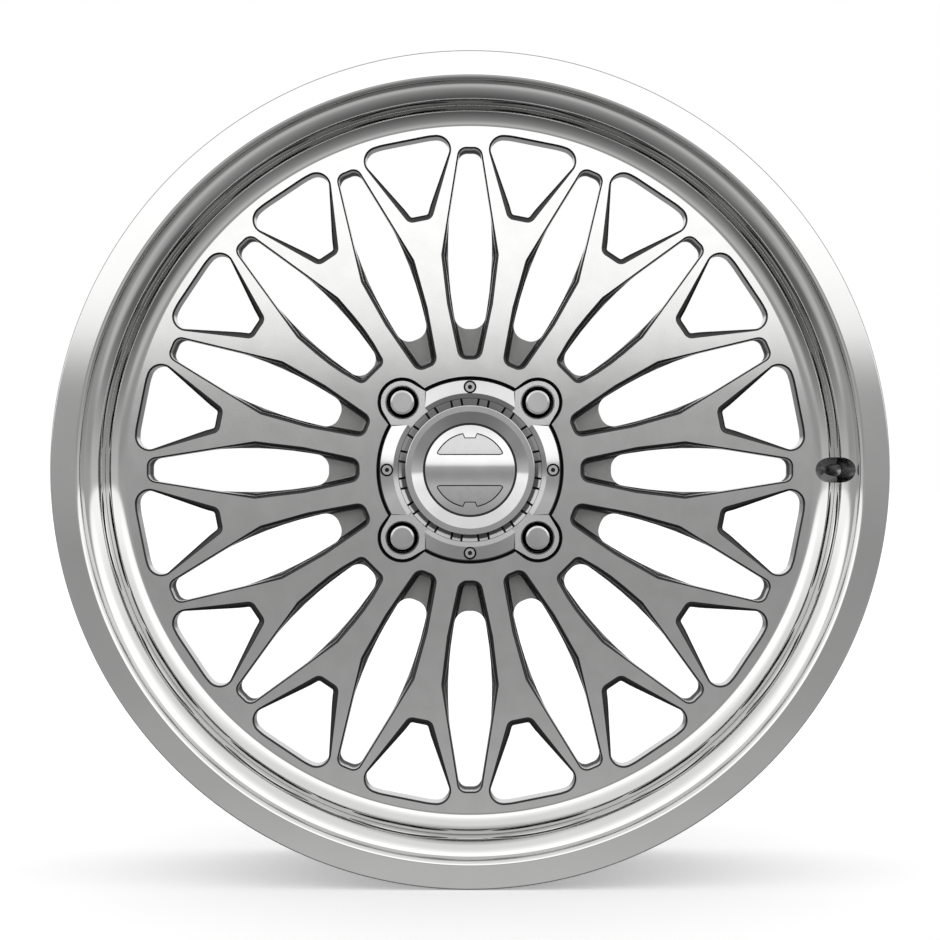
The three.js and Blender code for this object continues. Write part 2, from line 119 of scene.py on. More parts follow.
SPOKES = 16
SPOKE_PITCH = 2 * math.pi / SPOKES
LUG_ANGLES = [math.pi / 4 + k * math.pi / 2 for k in range(4)]
SCREW_ANGLES = [k * math.pi / 2 for k in range(4)]
LUG_PLACES = [(LUG_CIRCLE, angle) for angle in LUG_ANGLES]  # a place is a radius and an angle about Z
CAP_SCREW_PLACES = [(CAP_SCREW_CIRCLE, angle) for angle in SCREW_ANGLES]
CROWN_SCREW_PLACES = [(CROWN_SCREW_CIRCLE, angle) for angle in LUG_ANGLES]
BETWEEN_PETALS = [(0, (k + 0.5) * SPOKE_PITCH) for k in range(SPOKES)]

SIDES = 384
TO_ROW = Matrix.Rotation(math.pi / 2, 4, "X") @ Matrix.Scale(MM, 4)
BODY = "root"


# ---------------------------------------------------------------- outlines and solids

def arc(x, y, radius, start, stop, steps):
    """Points of an arc around (x, y) from one angle to another, in degrees."""
    angles = [math.radians(start + (stop - start) * i / steps) for i in range(steps + 1)]
    return [(x + radius * math.cos(a), y + radius * math.sin(a)) for a in angles]


def circle(radius, sides):
    return arc(0, 0, radius, 0, 360 - 360 / sides, sides - 1)


def rounded(corners, step=6):
    """Closed outline from corners (x, y, radius), listed counter-clockwise, each rounded by an arc.
    step is the turn between two points of an arc, in degrees."""
    points = []
    for i, (x, y, radius) in enumerate(corners):
        corner = Vector((x, y))
        back = (Vector(corners[i - 1][:2]) - corner).normalized()
        ahead = (Vector(corners[(i + 1) % len(corners)][:2]) - corner).normalized()
        half = back.angle(ahead) / 2
        centre = corner + (back + ahead).normalized() * (radius / math.sin(half))
        first = corner + back * (radius / math.tan(half)) - centre
        start = math.degrees(math.atan2(first.y, first.x))
        turn = math.copysign(180 - 2 * math.degrees(half), ahead.cross(back))
        points += arc(centre.x, centre.y, radius, start, start + turn, max(2, math.ceil(abs(turn) / step)))
    return points


def mirrored(corners, step=6):
    """Outline of a shape mirrored across X, from its corners with y > 0, inner end first."""
    return rounded([(x, -y, r) for x, y, r in corners] + corners[::-1], step)


def refined(outline, longest):
    """The outline with its long straight sides divided, so that an offset can vary along them."""
    points = []
    for (ax, ay), (bx, by) in zip(outline, outline[1:] + outline[:1]):
        parts = max(1, math.ceil(math.hypot(bx - ax, by - ay) / longest))
        points += [(ax + (bx - ax) * k / parts, ay + (by - ay) * k / parts) for k in range(parts)]
    return points


def inset(outline, distance):
    """The outline moved inwards; distance is a number, or a function of a point."""
    points = []
    count = len(outline)
    for i, (x, y) in enumerate(outline):
        before = Vector(outline[i - 1])
        after = Vector(outline[(i + 1) % count])
        here = Vector((x, y))
        along = (here - before).normalized() + (after - here).normalized()
        inward = Vector((-along.y, along.x)).normalized()
        depth = distance((x, y)) if callable(distance) else distance
        points.append((x + inward.x * depth, y + inward.y * depth))
    return points


def turned_outline(outline, angle):
    """The outline turned around the axle."""
    c, s = math.cos(angle), math.sin(angle)
    return [(x * c - y * s, x * s + y * c) for x, y in outline]


def add_rings(bm, rings):
    """Closed solid from outlines stacked upwards: each ring is (points, z), counter-clockwise."""
    loops = [[bm.verts.new((x, y, z)) for x, y in points] for points, z in rings]
    count = len(loops[0])
    for low, high in zip(loops, loops[1:]):
        for i in range(count):
            j = (i + 1) % count
            bm.faces.new((low[i], low[j], high[j], high[i]))
    bm.faces.new(loops[0][::-1])
    bm.faces.new(loops[-1])


def add_revolved(bm, outline, sides):
    """Closed solid of revolution about Z from (radius, z) points listed counter-clockwise."""
    poles = {z: bm.verts.new((0, 0, z)) for r, z in outline if r == 0}
    columns = []
    for i in range(sides):
        c, s = math.cos(2 * math.pi * i / sides), math.sin(2 * math.pi * i / sides)
        columns.append([bm.verts.new((r * c, r * s, z)) if r else poles[z] for r, z in outline])
    for a, b in zip(columns, columns[1:] + columns[:1]):
        for j in range(len(outline)):
            corners = dict.fromkeys((a[j - 1], b[j - 1], b[j], a[j]))
            if len(corners) > 2:
                bm.faces.new(corners)


def copies(build, places):
    """One bmesh holding a copy of build(bm) at each (radius, angle about Z) place."""
    whole = bmesh.new()
    for radius, angle in places:
        one = bmesh.new()
        build(one)
        one.transform(Matrix.Rotation(angle, 4, "Z") @ Matrix.Translation((radius, 0, 0)))
        piece = bpy.data.meshes.new("copy")
        one.to_mesh(piece)
        one.free()
        whole.from_mesh(piece)
        bpy.data.meshes.remove(piece)
    return whole


def solid(build):
    """A bmesh with what build(bm) makes in it."""
    bm = bmesh.new()
    build(bm)
    return bm


def revolved(outline, sides=SIDES):
    return lambda bm: add_revolved(bm, outline, sides)


def prism(outline, bottom, top):
    return lambda bm: add_rings(bm, [(outline, bottom), (outline, top)])


def rod(radius, bottom, top, sides=SIDES):
    return revolved([(0, bottom), (radius, bottom), (radius, top), (0, top)], sides)


def stepped_rod(bottom, low_radius, step, high_radius, top, sides):
    """A rod whose radius changes at the height step."""
    return revolved([
        (0, bottom),
        (low_radius, bottom),
        (low_radius, step),
        (high_radius, step),
        (high_radius, top),
        (0, top),
    ], sides)


def new_object(name, bm):
    mesh = bpy.data.meshes.new(name)
    bm.to_mesh(mesh)
    bm.free()
    obj = bpy.data.objects.new(name, mesh)
    bpy.context.scene.collection.objects.link(obj)
    return obj


def taken(obj):
    """The object's mesh as a bmesh; the object itself is removed."""
    bm = bmesh.new()
    bm.from_mesh(obj.data)
    bpy.data.objects.remove(obj)
    return bm


def cut(obj, bm):
    """Cuts the solids in bm from obj's mesh."""
    tool = new_object("tool", bm)
    modifier = obj.modifiers.new("cut", "BOOLEAN")
    modifier.solver = "MANIFOLD"
    modifier.object = tool
    result = bpy.data.meshes.new_from_object(obj.evaluated_get(bpy.context.evaluated_depsgraph_get()))
    obj.modifiers.clear()
    if len(result.vertices) == len(obj.data.vertices):
        raise RuntimeError(f"a cut changed nothing on {obj.name}")
    old = obj.data
    obj.data = result
    result.name = obj.name
    bpy.data.meshes.remove(old)
    bpy.data.objects.remove(tool)


def set_corner_normals(obj, sharp_degrees):
    """Shades a solid by its large faces; the corners of faces square to the axle get exactly their normal."""
    weighted = obj.modifiers.new("normals", "WEIGHTED_NORMAL")
    weighted.keep_sharp = True
    weighted.weight = 100
    shaded = obj.evaluated_get(bpy.context.evaluated_depsgraph_get()).to_mesh()
    normals = [corner.vector.copy() for corner in shaded.corner_normals]
    square = {vertex: face.normal for face in shaded.polygons if abs(face.normal.y) > 0.99999
              for vertex in face.vertices}
    for i, loop in enumerate(shaded.loops):
        flat = square.get(loop.vertex_index)
        if flat and flat.dot(normals[i]) > math.cos(math.radians(sharp_degrees)):
            normals[i] = flat.copy()
    obj.modifiers.clear()
    obj.data.normals_split_custom_set(normals)


def dress(obj, node, materials, zone=None, sharp_degrees=32):
    """Turns a finished solid into the row frame, shades it, and lets it stand for its CAD node.
    zone(centre, normal), in millimetres around Z, gives a face's material, one of materials."""
    obj.data.materials.clear()
    for material in materials:
        obj.data.materials.append(material)
    for face in obj.data.polygons:
        face.use_smooth = True
        face.material_index = materials.index(zone(face.center, face.normal)) if zone else 0
    obj.data.transform(TO_ROW)
    obj.data.set_sharp_from_angle(angle=math.radians(sharp_degrees))
    set_corner_normals(obj, sharp_degrees)
    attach(obj, BODY)
    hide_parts(node)


# ---------------------------------------------------------------- materials

def node_material(name):
    """A new material with its nodes and links."""
    material = bpy.data.materials.new(name)
    material.use_nodes = True
    return material, material.node_tree.nodes, material.node_tree.links


def metal(name, color, roughness, spread=0.03, scale=60, bump=0.02, lines=None, metallic=1.0):
    """Metal whose colour and roughness drift a little, with fine grain, or turning lines about Y."""
    material, nodes, links = node_material(name)
    shader = nodes["Principled BSDF"]
    shader.inputs["Metallic"].default_value = metallic
    place = nodes.new("ShaderNodeTexCoord")

    drift = nodes.new("ShaderNodeTexNoise")
    drift.inputs["Scale"].default_value = scale
    drift.inputs["Detail"].default_value = 4
    links.new(place.outputs["Object"], drift.inputs["Vector"])

    gloss = nodes.new("ShaderNodeMapRange")
    gloss.inputs["To Min"].default_value = roughness - spread
    gloss.inputs["To Max"].default_value = roughness + spread
    links.new(drift.outputs["Fac"], gloss.inputs["Value"])
    links.new(gloss.outputs["Result"], shader.inputs["Roughness"])

    tint = nodes.new("ShaderNodeValToRGB")
    tint.color_ramp.elements[0].position = 0.35
    tint.color_ramp.elements[1].position = 0.65
    for stop, share in zip(tint.color_ramp.elements, (0.97, 1.03)):
        stop.color = (*[channel * share for channel in color], 1)
    links.new(drift.outputs["Fac"], tint.inputs["Fac"])
    links.new(tint.outputs["Color"], shader.inputs["Base Color"])

    if lines:
        grain = nodes.new("ShaderNodeTexWave")
        grain.wave_type = "RINGS"
        grain.rings_direction = "Y"
        grain.inputs["Scale"].default_value = lines
        grain.inputs["Distortion"].default_value = 0.4
    else:
        grain = nodes.new("ShaderNodeTexNoise")
        grain.inputs["Scale"].default_value = scale * 25
    links.new(place.outputs["Object"], grain.inputs["Vector"])
    relief = nodes.new("ShaderNodeBump")
    relief.inputs["Strength"].default_value = bump
    relief.inputs["Distance"].default_value = 0.0002
    links.new(grain.outputs["Fac"], relief.inputs["Height"])
    links.new(relief.outputs["Normal"], shader.inputs["Normal"])
    return material


FACE = metal("machined_face", (0.65, 0.65, 0.645), 0.085, spread=0.01, bump=0.004, lines=700)
POLISHED = metal("polished_lip", (0.66, 0.66, 0.655), 0.05, spread=0.01, scale=12, bump=0.003)
EDGE = metal("dark_window_edge", (0.045, 0.045, 0.045), 0.25)
WINDOW_WALL = metal("window_wall", (0.16, 0.16, 0.16), 0.25)
# Painted shade: darker grey on the valve hole's walls and on the crown's upright walls
WALL_PAINTED_SHADE = metal("wall_painted_shade", (0.28, 0.28, 0.28), 0.2)
BLASTED = metal("blasted_pocket", (0.34, 0.34, 0.335), 0.55, scale=300, bump=0.3)
BARREL = metal("machined_barrel", (0.6, 0.6, 0.6), 0.25, bump=0.05, lines=300)
CAP_METAL = metal("cap_machined", (0.62, 0.62, 0.62), 0.2, lines=900)
CAP_POLISHED = metal("cap_polished", (0.63, 0.63, 0.63), 0.08, spread=0.01, bump=0.005)
BADGE_PANEL = metal("badge_panel", (0.55, 0.55, 0.55), 0.32, scale=300, bump=0.12)
# Painted shade: near-black on the cap's upright walls, notches and grooves, and in the recess under the cap,
# where shade falls
CAP_PAINTED_SHADE = metal("cap_painted_shade", (0.03, 0.03, 0.03), 0.4)
FUNNEL = metal("cap_funnel", (0.4, 0.4, 0.4), 0.15)
NUT = metal("nut_steel", (0.5, 0.5, 0.5), 0.18)
SCREW = metal("screw_steel", (0.45, 0.45, 0.46), 0.25)
# Painted shade: near-black inside the screws' hex sockets
SOCKET_PAINTED_SHADE = metal("socket_painted_shade", (0.03, 0.03, 0.03), 0.5)
RUBBER = metal("black_rubber", (0.012, 0.012, 0.012), 0.6, metallic=0.0)


# ---------------------------------------------------------------- forged wheel

def wheel_outline():
    """Cross-section of the whole forging, counter-clockwise from the back of the bore."""
    drop = BEAD_RADIUS - 17
    rear_wall = BEAD_RADIUS - 6
    hump = BEAD_RADIUS - 0.2
    slope = math.degrees(SHOULDER_SLOPE)
    low = arc(FACE_RADIUS, FACE_Z + SHOULDER_ARC, SHOULDER_ARC, -90, slope - 90, 18)
    rise, run = math.sin(SHOULDER_SLOPE), math.cos(SHOULDER_SLOPE)
    high_r = low[-1][0] + SHOULDER_STRAIGHT * run
    high_z = low[-1][1] + SHOULDER_STRAIGHT * rise
    high = arc(high_r + SHOULDER_ARC * rise, high_z - SHOULDER_ARC * run, SHOULDER_ARC, 90 + slope, 95, 18)
    lip_inner = high[-1][0] + 0.8
    return [
        (BORE_RADIUS, HUB_BACK_Z),
        (PAD_RADIUS, HUB_BACK_Z),
        (PAD_RADIUS + 4, HUB_BACK_Z + 12),
        (150, WEB_BACK_Z),
        (238, WEB_BACK_Z),
        *arc(238, WEB_BACK_Z - 18, 18, 80, 0, 12),
        (drop - WALL, -6),
        (rear_wall - WALL, -32),
        (rear_wall - WALL, -62),
        (BEAD_RADIUS - 7, -FLANGE_FACE),
        *arc(RIM_RADIUS - 8, -RIM_FRONT + 6, 6, 180, 270, 8),
        *arc(RIM_RADIUS - 1, -RIM_FRONT + 1, 1, 270, 360, 4),
        *arc(RIM_RADIUS - 5, -FLANGE_FACE - 5, 5, 0, 90, 8),
        *arc(BEAD_RADIUS + 5, -FLANGE_FACE + 5, 5, 270, 180, 8),
        (BEAD_RADIUS - 1.5, -66),
        (hump, -62),
        (rear_wall, -56),
        (rear_wall, -30),
        (drop, -4),
        (drop, 38),
        (BEAD_RADIUS - 2, 58),
        (hump, 62),
        (BEAD_RADIUS - 1.5, 66),
        *arc(BEAD_RADIUS + 5, FLANGE_FACE - 5, 5, 180, 90, 8),
        *arc(RIM_RADIUS - 5, FLANGE_FACE + 5, 5, 270, 360, 8),
        *arc(RIM_RADIUS - 1, RIM_FRONT - 1, 1, 0, 90, 4),
        *arc(lip_inner + 4.5, RIM_FRONT - 4.5, 4.5, 90, 180, 12),
        *high[::-1],
        *low[::-1],
        (BORE_RADIUS - 5, FACE_Z),
        (BORE_RADIUS - 5, RECESS_Z - 12),
        (BORE_RADIUS, RECESS_Z - 12),
    ]


def fading(inner, outer, start, stop):
    """Width of a rounded rim: inner up to the radius start, and then fading to outer at stop."""
    def width(point):
        share = min(1, max(0, (point[0] - start) / (stop - start)))
        return inner + (outer - inner) * share
    return width


def rim_rings(outline, wall_bottom, width, steps=6):
    """Rings, upwards, of a cutter that leaves the street-side rim of its window rounded."""
    rings = [(inset(outline, width), wall_bottom)]
    for k in range(steps, -1, -1):
        turn = math.pi / 2 * k / steps
        ring = inset(outline, lambda p, s=math.sin(turn): width(p) * s)
        rings.append((ring, FACE_Z - EDGE_DEPTH * (1 - math.cos(turn))))
    return rings + [(outline, FACE_Z + 3)]


def pocket_rings(corners, steps=6):
    """Rings of a petal pocket: floor with a fillet that fades out to the tip, plain wall, rounded rim."""
    outline = refined(mirrored(corners), 6)
    width = fading(2.5, 1.2, 140, 178)
    fillet = fading(FLOOR_FILLET, 0, 160, 185)
    rings = []
    for k in range(steps, 0, -1):
        turn = math.pi / 2 * k / steps
        ring = inset(outline, lambda p, s=1 - math.cos(turn): width(p) + fillet(p) * s)
        rings.append((ring, POCKET_Z + FLOOR_FILLET * (1 - math.sin(turn))))
    return rings + rim_rings(outline, POCKET_Z + FLOOR_FILLET, width)


def cross_outline(circle_radius, lobe_radius):
    """A circle with a lobe over each lug, joined by short tangents."""
    corner_angle = math.radians(LOBE_ANGLE)
    corner = Vector((math.cos(corner_angle), math.sin(corner_angle))) * circle_radius
    to_lug = Vector((LUG_CIRCLE, 0)) - corner
    spread = math.acos(lobe_radius / to_lug.length)
    lobe_start = math.degrees(math.atan2(-to_lug.y, -to_lug.x) - spread)
    quarter = arc(LUG_CIRCLE, 0, lobe_radius, -lobe_start, lobe_start, 28)
    quarter += arc(0, 0, circle_radius, LOBE_ANGLE, 90 - LOBE_ANGLE, 20)
    return [point for angle in LUG_ANGLES for point in turned_outline(quarter, angle)]


def lug_hole_outline():
    """Stud bore, conical seat and counterbore."""
    seat_bottom = LUG_SEAT_TOP - (LUG_COUNTERBORE - LUG_HOLE) / LUG_SEAT_SLOPE
    return [
        (0, HUB_BACK_Z - 1),
        (LUG_HOLE, HUB_BACK_Z - 1),
        (LUG_HOLE, seat_bottom),
        (LUG_COUNTERBORE, LUG_SEAT_TOP),
        (LUG_COUNTERBORE, RECESS_Z + 1),
        (0, RECESS_Z + 1),
    ]


def cut_windows(wheel):
    """Pockets and lens-shaped windows of the petals, and the triangles between the petals' tips."""
    beside_lugs = [(0, k * SPOKE_PITCH) for k in range(SPOKES) if k % 4 == 2]
    others = [(0, k * SPOKE_PITCH) for k in range(SPOKES) if k % 4 != 2]
    kink, tip = (153.9, 20.6, 6), (230.9, 8.3, 6.6)
    long_pocket = pocket_rings([(78.8, 7.6, 7.1), (118.5, 18, 368), kink, tip])
    short_pocket = pocket_rings([(97.1, 11.2, 5.5), (118.5, 18, 150), kink, tip])
    lens = mirrored([(101.7, 9.8, 9.9), (165.3, 20.6, 268), (228.3, 7.3, 6.5)], 3)
    triangle = refined(mirrored([(181.1, 8.5, 6.2), (237.3, 37.2, 10.6), (240.2, 18.8, 45)]), 6)
    triangle_rings = rim_rings(triangle, WEB_BACK_Z - 25, fading(4, 1.4, 190, 228))
    cut(wheel, copies(lambda bm: add_rings(bm, long_pocket), others))
    cut(wheel, copies(lambda bm: add_rings(bm, short_pocket), beside_lugs))
    cut(wheel, copies(prism(lens, HUB_BACK_Z - 1, POCKET_Z + 1), others + beside_lugs))
    cut(wheel, copies(lambda bm: add_rings(bm, triangle_rings), BETWEEN_PETALS))


def cut_hub(wheel):
    """Recess for the cap with its broken edge, the lug bores and the cap screws' holes."""
    cross = cross_outline(RECESS_CIRCLE, RECESS_LOBE)
    broken_edge = 0.6
    opened = inset(cross, -broken_edge)
    recess = [(cross, RECESS_Z), (cross, FACE_Z - broken_edge), (opened, FACE_Z), (opened, FACE_Z + 2)]
    cut(wheel, solid(lambda bm: add_rings(bm, recess)))
    cut(wheel, copies(revolved(lug_hole_outline(), 48), LUG_PLACES))
    cut(wheel, copies(rod(CAP_SCREW_HOLE, RECESS_Z - 12, RECESS_Z + 1, 24), CAP_SCREW_PLACES))


def cut_valve_hole(wheel):
    """A pocket milled into the shoulder, and the valve's bore from its floor out to the tyre side."""
    for radius, bottom, top, lean in VALVE_CUTS:
        tool = solid(rod(radius, bottom, top, 64))
        tool.transform(Matrix.Translation(VALVE_PLACE) @ Matrix.Rotation(math.radians(lean), 4, "Y"))
        cut(wheel, tool)


def in_valve_hole(point):
    """Whether a point lies on the wall or the floor of the valve's pocket or bore."""
    offset = point - VALVE_PLACE
    for radius, bottom, top, lean in VALVE_CUTS:
        axis = Vector((math.sin(math.radians(lean)), 0, math.cos(math.radians(lean))))
        along = offset.dot(axis)
        if bottom - 0.1 < along < top and (offset - axis * along).length < radius + 0.05:
            return True
    return False


def in_recess(point):
    """Whether a point lies in or under the recess for the centre cap."""
    lugs = [Vector((radius * math.cos(angle), radius * math.sin(angle))) for radius, angle in LUG_PLACES]
    return point.xy.length < 70 or min((point.xy - lug).length for lug in lugs) < 18


def wheel_zone(centre, normal):
    """The metal of one of the wheel's faces."""
    radius = centre.xy.length
    near = 0.02
    # painted shade: near-black on the walls and floor of the recess under the cap
    if HUB_BACK_Z + 1 < centre.z < FACE_Z - near and in_recess(centre):
        return CAP_PAINTED_SHADE
    if radius > RIM_RADIUS - 0.8 and centre.z > RIM_FRONT - 1:  # the lip's rounded outer edge
        return BLASTED
    # painted shade: darker grey inside the valve hole
    if centre.x > 200 and in_valve_hole(centre):
        return WALL_PAINTED_SHADE
    if radius > FACE_RADIUS - 0.2 and centre.z > FACE_Z - 0.2:  # shoulder and lip
        return POLISHED
    if centre.z > FACE_Z - near:
        return FACE
    if 70 < radius < FACE_RADIUS and centre.z > FACE_Z - EDGE_DEPTH - near:
        return EDGE
    if 75 < radius < 130 and abs(centre.z - POCKET_Z) < 0.1 and normal.z > 0.9:  # floors of the petal pockets
        return BLASTED
    if radius < FACE_RADIUS and centre.z > WEB_BACK_Z - 0.5:
        return WINDOW_WALL
    return BARREL


def make_wheel():
    wheel = new_object("forged_wheel", solid(revolved(wheel_outline())))
    cut_windows(wheel)
    cut_hub(wheel)
    cut_valve_hole(wheel)
    dress(wheel, "wheel_body",
          [FACE, POLISHED, EDGE, WINDOW_WALL, BLASTED, BARREL, CAP_PAINTED_SHADE, WALL_PAINTED_SHADE], wheel_zone)


# ---------------------------------------------------------------- centre cap

def above_cone():
    """What is cut away above the plate's coned ring: all of it but the flat pads over the lugs."""
    reach = 90
    fall = CONE_DROP / (PLATE_CIRCLE - CONE_INNER)
    tool = new_object("above_cone", solid(revolved([
        (CONE_INNER, PLATE_TOP),
        (reach, PLATE_TOP - fall * (reach - CONE_INNER)),
        (reach, PLATE_TOP + 1),
        (CONE_INNER, PLATE_TOP + 1),
    ])))
    edge = 32.2  # of the pads
    pad = [(edge, edge), (reach, edge), (reach, reach), (edge, reach)]
    cut(tool, copies(prism(pad, PLATE_TOP - 25, PLATE_TOP + 15), [(0, angle) for angle in SCREW_ANGLES]))
    return taken(tool)


def above_funnel():
    """What is cut away for the funnel around the seat: all of it but the noses of the flat pads."""
    tool = new_object("funnel", solid(revolved([
        (0, FUNNEL_BOTTOM),
        (PLATE_SEAT, FUNNEL_BOTTOM),
        (CONE_INNER, PLATE_TOP),
        (CONE_INNER, PLATE_TOP + 1),
        (0, PLATE_TOP + 1),
    ])))
    nose = [(40, -PAD_NOSE_HALF), (60, -PAD_NOSE_HALF), (60, PAD_NOSE_HALF), (40, PAD_NOSE_HALF)]
    cut(tool, copies(prism(nose, PLATE_TOP - 20, PLATE_TOP + 20), [(0, angle) for angle in LUG_ANGLES]))
    return taken(tool)


def cut_plate_holes(plate):
    """Ways for the lug nuts, for the cap screws, and from behind for the crown screws."""
    bottom, top = PLATE_BOTTOM - 1, PLATE_TOP + 1
    lug_way = [
        (0, bottom),
        (PLATE_LUG_WAY, bottom),
        (PLATE_LUG_WAY, PLATE_TOP - 1),
        (PLATE_LUG_WAY + 1, PLATE_TOP),
        (PLATE_LUG_WAY + 2, top),
        (0, top),
    ]
    screw_way = stepped_rod(bottom, CAP_SCREW_HOLE, CAP_SCREW_SEAT, CAP_SCREW_COUNTERBORE, top, 64)
    rear_way = stepped_rod(bottom, CROWN_SCREW_COUNTERBORE, CROWN_SCREW_SEAT, CROWN_SCREW_HOLE, PLATE_TOP, 32)
    cut(plate, copies(revolved(lug_way, 96), LUG_PLACES))
    cut(plate, copies(screw_way, CAP_SCREW_PLACES))
    cut(plate, copies(rear_way, CROWN_SCREW_PLACES))


def plate_zone(centre, normal):
    """The metal of one of the plate's faces."""
    radius = centre.xy.length
    level = normal.z > 0.97
    # painted shade: near-black on upright walls and on everything below the pads' top
    if normal.z < 0.3 or centre.z < PLATE_TOP - 4:
        return CAP_PAINTED_SHADE
    if radius < CONE_INNER and not level:
        return FUNNEL
    if radius > CONE_INNER and not level and centre.z < PLATE_TOP - 0.05:
        return CAP_POLISHED
    return CAP_METAL


def make_base_plate():
    """Cross-shaped plate with a coned ring, flat pads over the lugs and a seat for the crown."""
    cross = cross_outline(PLATE_CIRCLE, PLATE_LOBE)
    broken_edge = 0.5
    blank = [(cross, PLATE_BOTTOM), (cross, PLATE_TOP - broken_edge), (inset(cross, broken_edge), PLATE_TOP)]
    plate = new_object("base_plate", solid(lambda bm: add_rings(bm, blank)))
    cut(plate, above_cone())
    cut(plate, solid(rod(PLATE_SEAT, PLATE_FLOOR, PLATE_TOP + 1)))
    cut(plate, above_funnel())
    cut_plate_holes(plate)
    metals = [CAP_METAL, CAP_POLISHED, CAP_PAINTED_SHADE, FUNNEL]
    dress(plate, "cap_base_plate", metals, plate_zone, sharp_degrees=12)


def make_castle_ring():
    """Ring whose toothed top falls towards the crown."""
    inner, outer, top = 46.6, PLATE_SEAT - GAP, FUNNEL_BOTTOM
    fall, depth = 1.5, 1.5
    floor_half, mouth_half = 2.9, 5.4  # half widths of a notch
    slope = math.atan2(fall, outer - inner)
    section = [(inner, RING_BOTTOM), (outer, RING_BOTTOM), (outer, top), (inner, top - fall)]
    ring = new_object("castle_ring", solid(revolved(section)))
    notch_outline = [(-floor_half, -depth), (floor_half, -depth), (mouth_half, 1), (-mouth_half, 1)]

    def notch(bm):
        add_rings(bm, [(notch_outline, -9), (notch_outline, 3)])
        upright = Matrix(((0, 0, 1), (1, 0, 0), (0, 1, 0))).to_4x4()
        bm.transform(Matrix.Translation((outer, 0, top)) @ Matrix.Rotation(-slope, 4, "Y") @ upright)

    def zone(centre, normal):
        # painted shade: near-black on the notches' walls
        return FUNNEL if normal.z > 0.8 else CAP_PAINTED_SHADE
    cut(ring, copies(notch, BETWEEN_PETALS))
    dress(ring, "cap_castle_ring", [FUNNEL, CAP_PAINTED_SHADE], zone, sharp_degrees=12)


def make_crown():
    """Bezel: flat rim, coned bevel down to the badge, and a bore that takes the badge from behind."""
    outer, rim, opening = 46.3, 41.8, 33.7
    bore = BADGE_FLANGE + 0.4
    crown = new_object("crown", solid(revolved([
        (bore, RING_BOTTOM),
        (outer, RING_BOTTOM),
        *arc(outer - 0.6, CROWN_TOP - 0.6, 0.6, 0, 90, 5),
        (rim, CROWN_TOP),
        (opening, CROWN_TOP - 3.9),
        (opening, BADGE_SHOULDER + GAP),
        (bore, BADGE_SHOULDER + GAP),
        (bore, RING_BOTTOM + 1.5),
        (bore + 1.2, RING_BOTTOM + 1.5),
        (bore + 1.2, RING_BOTTOM + 0.3),
        (bore, RING_BOTTOM + 0.3),
    ])))

    def zone(centre, normal):
        # painted shade: darker grey on the crown's upright walls
        return CAP_POLISHED if normal.z > 0.3 else WALL_PAINTED_SHADE
    dress(crown, "cap_crown", [CAP_POLISHED, WALL_PAINTED_SHADE], zone, sharp_degrees=20)


def panel_outline():
    """D-shaped panel of the badge, with a notch at its top."""
    chord, reach = 10.7, 26.9
    chord_half = math.sqrt(reach ** 2 - chord ** 2)
    side = math.degrees(math.atan2(chord, chord_half)) + 7
    pole = math.degrees(math.atan2(reach, 5))
    corner = [(chord_half - 3.4, chord), (chord_half - 1.6, chord + 0.5), (chord_half - 0.8, chord + 1.4)]
    return [
        *corner,
        *arc(0, 0, reach, side, pole, 16),
        (3.5, reach - 3.6),
        (-3.5, reach - 3.6),
        *arc(0, 0, reach, 180 - pole, 180 - side, 16),
        *[(-x, y) for x, y in reversed(corner)],
    ]


def dome_height(radius):
    """Height of the badge's dome at a distance from the axle."""
    return DOME_TOP - DOME_RADIUS + math.sqrt(DOME_RADIUS ** 2 - radius ** 2)


def badge_blank():
    """The plain domed disc with the flange that holds it in the crown."""
    reach = math.degrees(math.asin(BADGE_RADIUS / DOME_RADIUS))
    dome = arc(0, DOME_TOP - DOME_RADIUS, DOME_RADIUS, 90 - reach, 90, 24)[:-1]
    return solid(revolved([
        (0, BADGE_SHOULDER - 1),
        (BADGE_FLANGE, BADGE_SHOULDER - 1),
        (BADGE_FLANGE, BADGE_SHOULDER),
        (BADGE_RADIUS, BADGE_SHOULDER),
        *dome,
        (0, DOME_TOP),
    ]))


def panel_pair(outline, bottom, top):
    """Prisms over a panel's outline, above and below the middle band."""
    return copies(prism(outline, bottom, top), [(0, 0), (0, math.pi)])


def sunken_panels(outline, depth):
    """Tools that sink both panel shapes into the dome by an even depth."""
    tool = new_object("panels", panel_pair(outline, BADGE_SHOULDER, DOME_TOP + 1))
    lowered = badge_blank()
    lowered.transform(Matrix.Translation((0, 0, -depth)))
    cut(tool, lowered)
    return tool


def badge_zone(centre, normal):
    """The metal of one of the badge's faces."""
    radius = centre.xy.length
    sunk = dome_height(radius) - centre.z
    # painted shade: near-black on the groove's walls and floor
    if normal.z < 0.5 or sunk > 0.5:
        return CAP_PAINTED_SHADE
    if sunk > 0.15 and abs(centre.y) > 10 and radius < 27:
        return BADGE_PANEL
    return CAP_POLISHED


def make_badge():
    """Low dome with a groove around the blasted panel above and below its middle band."""
    badge = new_object("badge", badge_blank())
    panel = panel_outline()
    island = inset(panel, 0.8)
    groove = sunken_panels(panel, 1.4)
    cut(groove, panel_pair(island, BADGE_SHOULDER - 2, DOME_TOP + 2))
    cut(badge, taken(groove))
    cut(badge, taken(sunken_panels(island, 0.25)))
    dress(badge, "cap_badge", [CAP_POLISHED, BADGE_PANEL, CAP_PAINTED_SHADE], badge_zone)


def make_badge_ring():
    """O-ring in the groove between the badge and the crown."""
    section = [(BADGE_RADIUS + 0.8 + x, BADGE_SHOULDER + 0.8 + z) for x, z in circle(0.5, 16)]
    dress(new_object("o_ring", solid(revolved(section))), "badge_o_ring", [RUBBER])


# ---------------------------------------------------------------- fasteners

